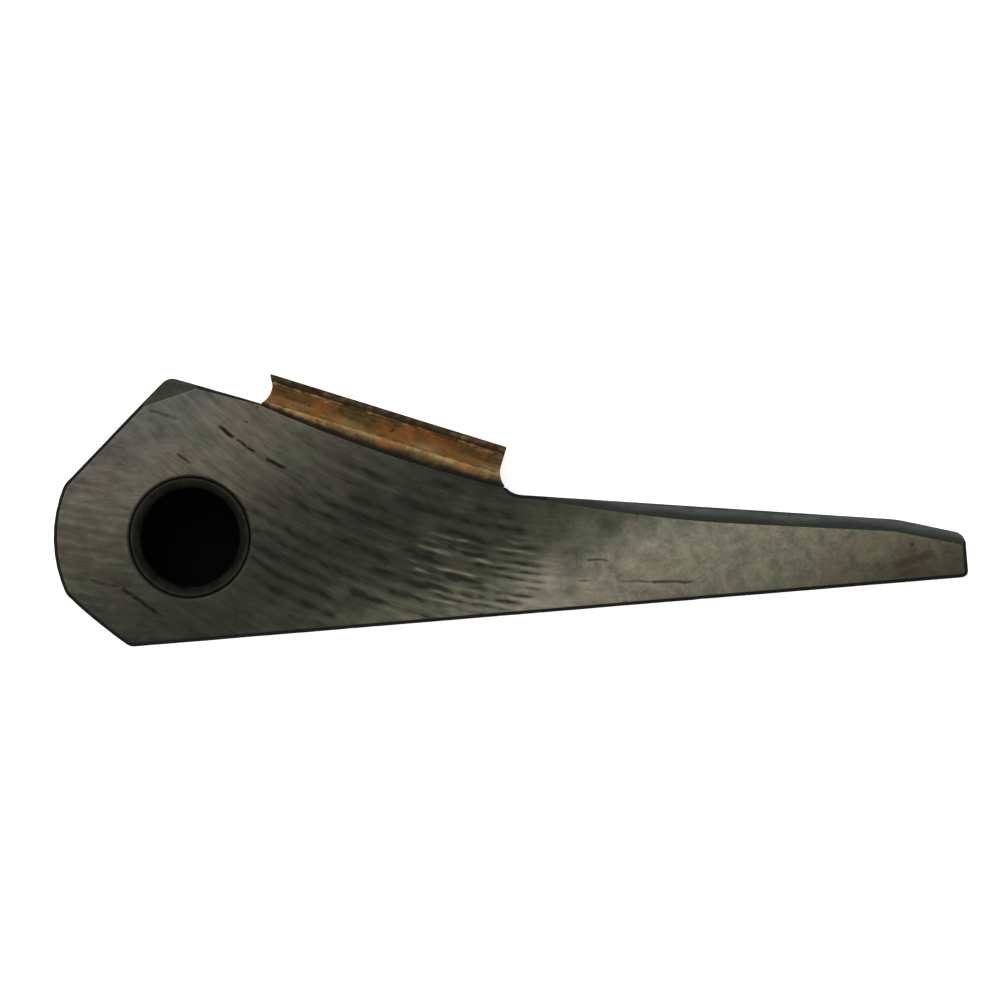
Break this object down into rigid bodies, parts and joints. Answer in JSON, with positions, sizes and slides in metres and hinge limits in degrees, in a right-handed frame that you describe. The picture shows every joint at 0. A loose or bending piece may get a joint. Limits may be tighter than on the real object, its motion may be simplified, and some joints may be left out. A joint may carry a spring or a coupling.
{
  "type": "pivoting wedge finger",
  "caption": "Flat steel lever with a bushed pivot bore in its head, a long tapering wedge tail, and a bronze rubbing pad screwed to its back.",
  "frame": {"origin": "on the face that the part lies on, under the middle of its bounding box", "axes": "+X along the long flat edge towards the tip of the tail, +Y towards the pad, +Z along the pivot bore, out of the upper side face"},
  "size_m": [0.2002, 0.0582, 0.024],
  "materials": {
    "lever_steel": "coarsely ground and oiled, with dark scale left on the bevels",
    "bush_steel": "dark, oiled",
    "pad_bronze": "cast bronze, tarnished brown, bright where it is rubbed",
    "fastener_steel": "black oxide"
  },
  "bodies": {
    "root": {"lever_body": "lever_steel", "pivot_bush": "bush_steel", "rub_pad": "pad_bronze", "pad_screw_head_end": "fastener_steel", "pad_screw_tail_end": "fastener_steel", "pad_dowel_head_end": "fastener_steel", "pad_dowel_tail_end": "fastener_steel"}
  },
  "joints": []
}
